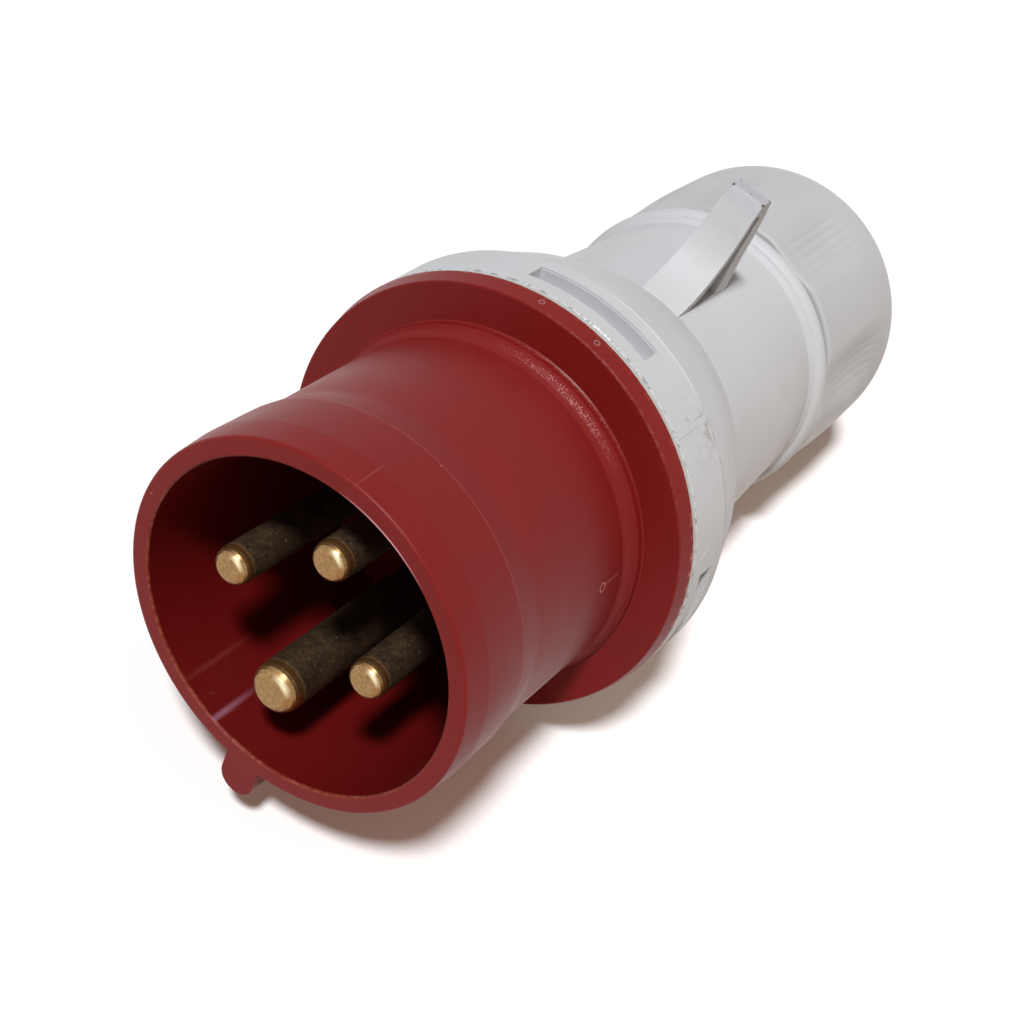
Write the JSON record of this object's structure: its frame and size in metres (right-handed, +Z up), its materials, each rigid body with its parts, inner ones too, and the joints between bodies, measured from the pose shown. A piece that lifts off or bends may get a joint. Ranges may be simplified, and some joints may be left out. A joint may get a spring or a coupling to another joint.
{
  "type": "industrial pin and sleeve plug",
  "caption": "Round industrial power plug: red sleeve with key and flange around brass pins, grey housing with a lid catch, lobed gland nut that unscrews.",
  "frame": {"origin": "centre of the footprint, on the surface that the plug lies on", "axes": "+Z up; the plug's axis lies in the YZ plane, mouth of the sleeve towards -Y and cable end towards +Y, nose raised by about 4.4 degrees because the housing ring is larger than the nut; key near -Z and lid catch near +Z"},
  "size_m": [0.075, 0.175, 0.0815],
  "materials": {
    "red_plastic": "moulded polyamide, satin, dulled by handling",
    "grey_plastic": "moulded polyamide, light grey, fine satin, dirt on the front edge",
    "grey_nut_plastic": "moulded polyamide, slightly darker grey, satin",
    "black_plastic": "moulded insulating plastic, plain",
    "seal_rubber": "soft black rubber",
    "brass": "turned brass, tarnished shafts and bright worn tips",
    "zinc_steel": "zinc-plated steel"
  },
  "bodies": {
    "plug_body": {"front_sleeve": "red_plastic", "terminal_block": "black_plastic", "pin_l1": "brass", "pin_l2": "brass", "pin_l3": "brass", "pin_earth": "brass", "terminal_screw_l1": "zinc_steel", "terminal_screw_l2": "zinc_steel", "terminal_screw_l3": "zinc_steel", "terminal_screw_earth": "zinc_steel", "wire_clamp_l1": "zinc_steel", "wire_clamp_l2": "zinc_steel", "wire_clamp_l3": "zinc_steel", "wire_clamp_earth": "zinc_steel", "block_screws": "zinc_steel", "housing_seal": "seal_rubber", "rear_housing": "grey_plastic", "gland_seal": "seal_rubber", "cable_clamp": "black_plastic"},
    "thrust_ring": {"thrust_ring": "zinc_steel"},
    "gland_nut": {"gland_nut": "grey_nut_plastic"}
  },
  "joints": [
    {"name": "nut_travel", "type": "slide", "parent": "plug_body", "child": "thrust_ring", "axis": [0, 0.9971, -0.0764], "range_m": [0, 0.006]},
    {"name": "nut_turn", "type": "hinge", "parent": "thrust_ring", "child": "gland_nut", "pos_m": [0, 0.06472, 0.03058], "axis": [0, 0.9971, -0.0764], "range_deg": [0, 720]}
  ],
  "couplings": [
    {"joint": "nut_turn", "follows": "nut_travel", "rad_per_m": 2094.4}
  ]
}
